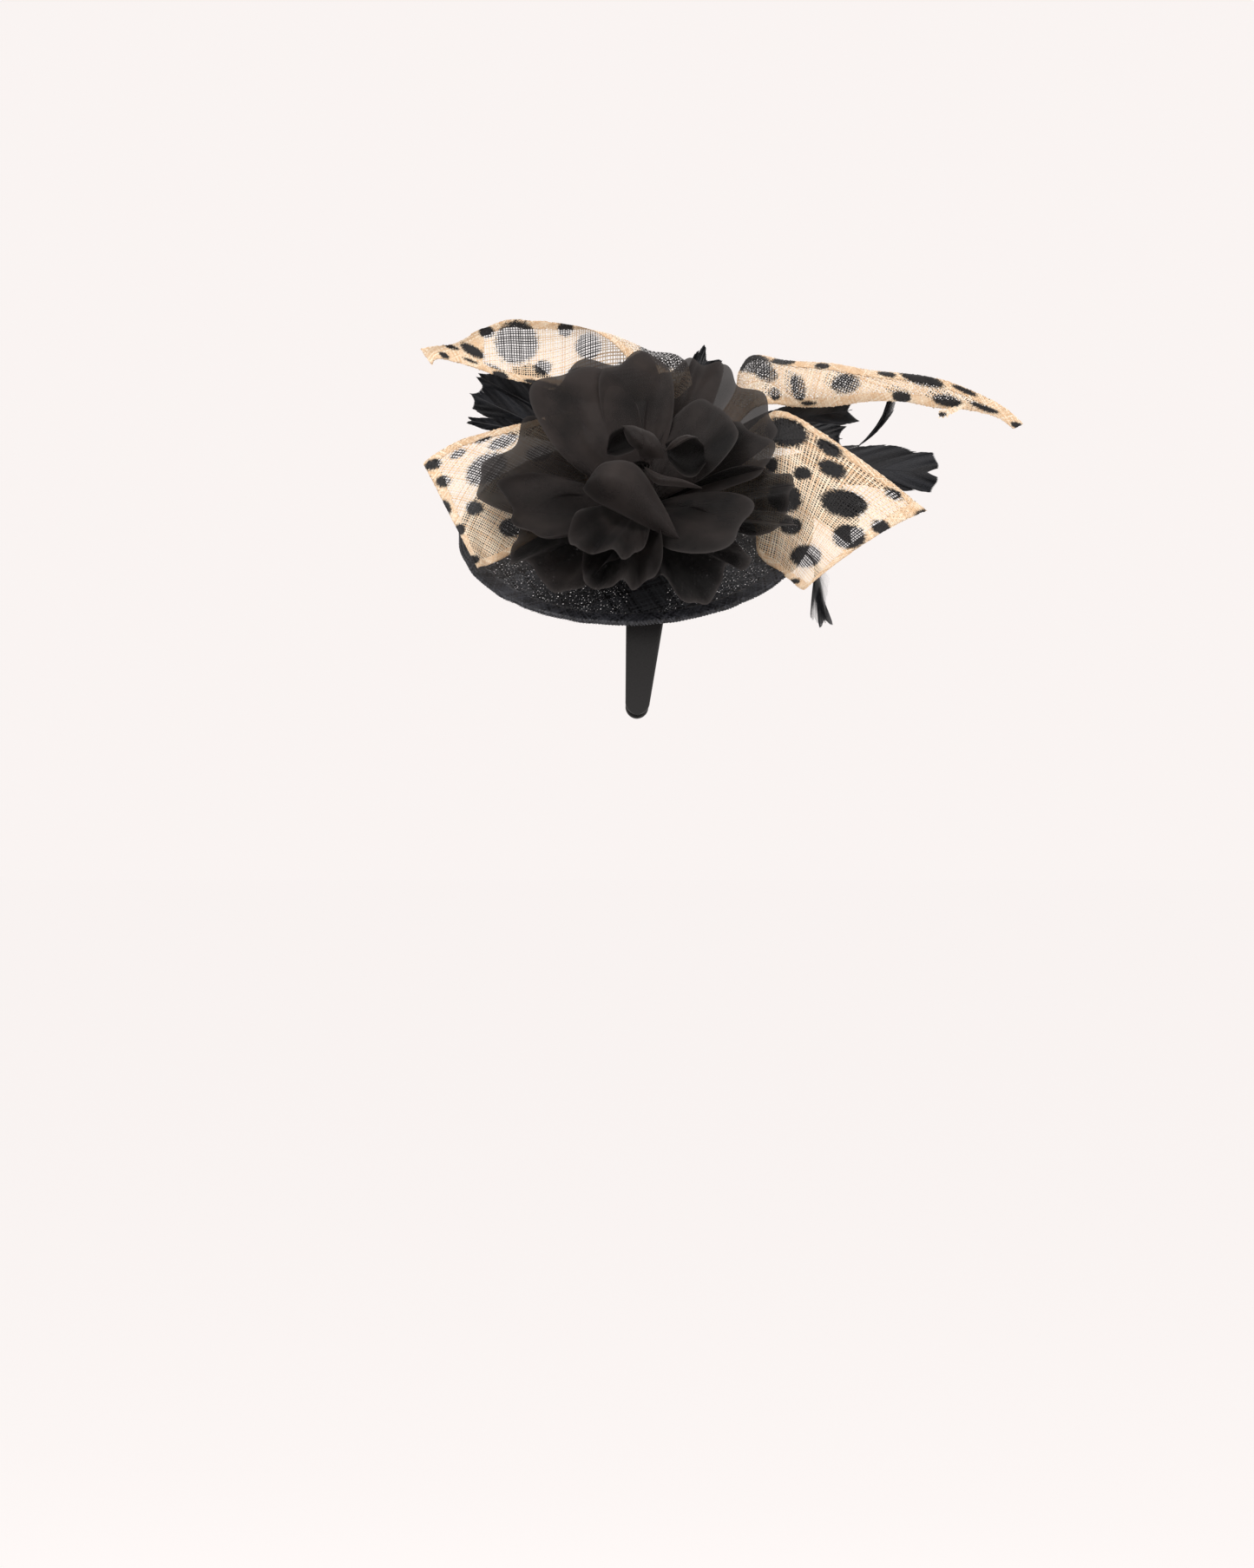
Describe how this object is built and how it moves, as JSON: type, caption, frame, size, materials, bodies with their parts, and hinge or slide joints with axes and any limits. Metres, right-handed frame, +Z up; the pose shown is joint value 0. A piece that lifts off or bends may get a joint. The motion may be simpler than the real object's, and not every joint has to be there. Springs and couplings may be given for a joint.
{
  "type": "fascinator headpiece",
  "caption": "Fascinator on a satin headband: tilted round sinamay base, large black organza bloom, spotted sinamay leaves and trimmed feathers.",
  "frame": {"origin": "inner face of the headband at its crown, where it rests on the top of the head", "axes": "+Z up, +X towards the back of the wearer's head, -Y towards the wearer's left, the side that carries the trimming"},
  "size_m": [0.344, 0.2064, 0.2227],
  "materials": {
    "spring_plastic": "matte, pressed strip",
    "black_satin": "soft satin sheen",
    "black_thread": "matt thread",
    "covered_wire": "thread-wrapped millinery wire",
    "black_sinamay": "open stiffened weave, low sheen",
    "black_sinamay_bias": "folded stiffened weave, low sheen",
    "black_felt": "matt felt",
    "black_organza": "sheer, soft sheen",
    "spotted_sinamay": "open stiffened weave, printed with black spots",
    "black_feather": "silky barbs"
  },
  "bodies": {
    "root": {"base_edge_binding": "black_sinamay_bias", "base_rim_wire": "covered_wire", "base_saucer": "black_sinamay", "bloom_bud": "black_organza", "bloom_calyx": "black_felt", "bloom_stem_wire": "covered_wire", "feather_left_back": "black_feather", "feather_left_blade": "black_feather", "feather_left_front": "black_feather", "feather_left_middle": "black_feather", "feather_lower_right": "black_feather", "feather_mount_felt": "black_felt", "feather_right_curl": "black_feather", "feather_right_fan_lower": "black_feather", "feather_right_fan_upper": "black_feather", "feather_right_middle": "black_feather", "feather_right_upper": "black_feather", "feather_top": "black_feather", "headband_core_crown": "spring_plastic", "headband_cover_crown": "black_satin", "headband_stitches": "black_thread", "inner_petal_1": "black_organza", "inner_petal_2": "black_organza", "inner_petal_3": "black_organza", "inner_petal_4": "black_organza", "leaf_lower_left": "spotted_sinamay", "leaf_lower_right": "spotted_sinamay", "leaf_upper_left": "spotted_sinamay", "leaf_upper_right": "spotted_sinamay", "middle_petal_1": "black_organza", "middle_petal_2": "black_organza", "middle_petal_3": "black_organza", "middle_petal_4": "black_organza", "middle_petal_5": "black_organza", "outer_petal_1": "black_organza", "outer_petal_2": "black_organza", "outer_petal_3": "black_organza", "outer_petal_4": "black_organza", "outer_petal_5": "black_organza", "outer_petal_6": "black_organza", "outer_petal_7": "black_organza", "underside_felt": "black_felt"},
    "left_arm": {"headband_core_left_arm": "spring_plastic", "headband_cover_left_arm": "black_satin"},
    "right_arm": {"headband_core_right_arm": "spring_plastic", "headband_cover_right_arm": "black_satin"}
  },
  "joints": [
    {"name": "left_arm_flex", "type": "hinge", "parent": "root", "child": "left_arm", "pos_m": [-0.00238, -0.05855, -0.02715], "axis": [-0.9962, 0, 0.0872], "range_deg": [-4, 10], "stiffness_Nm_per_rad": 1},
    {"name": "right_arm_flex", "type": "hinge", "parent": "root", "child": "right_arm", "pos_m": [-0.00126, 0.04574, -0.0144], "axis": [0.9962, 0, -0.0872], "range_deg": [-4, 10], "stiffness_Nm_per_rad": 1.3}
  ]
}
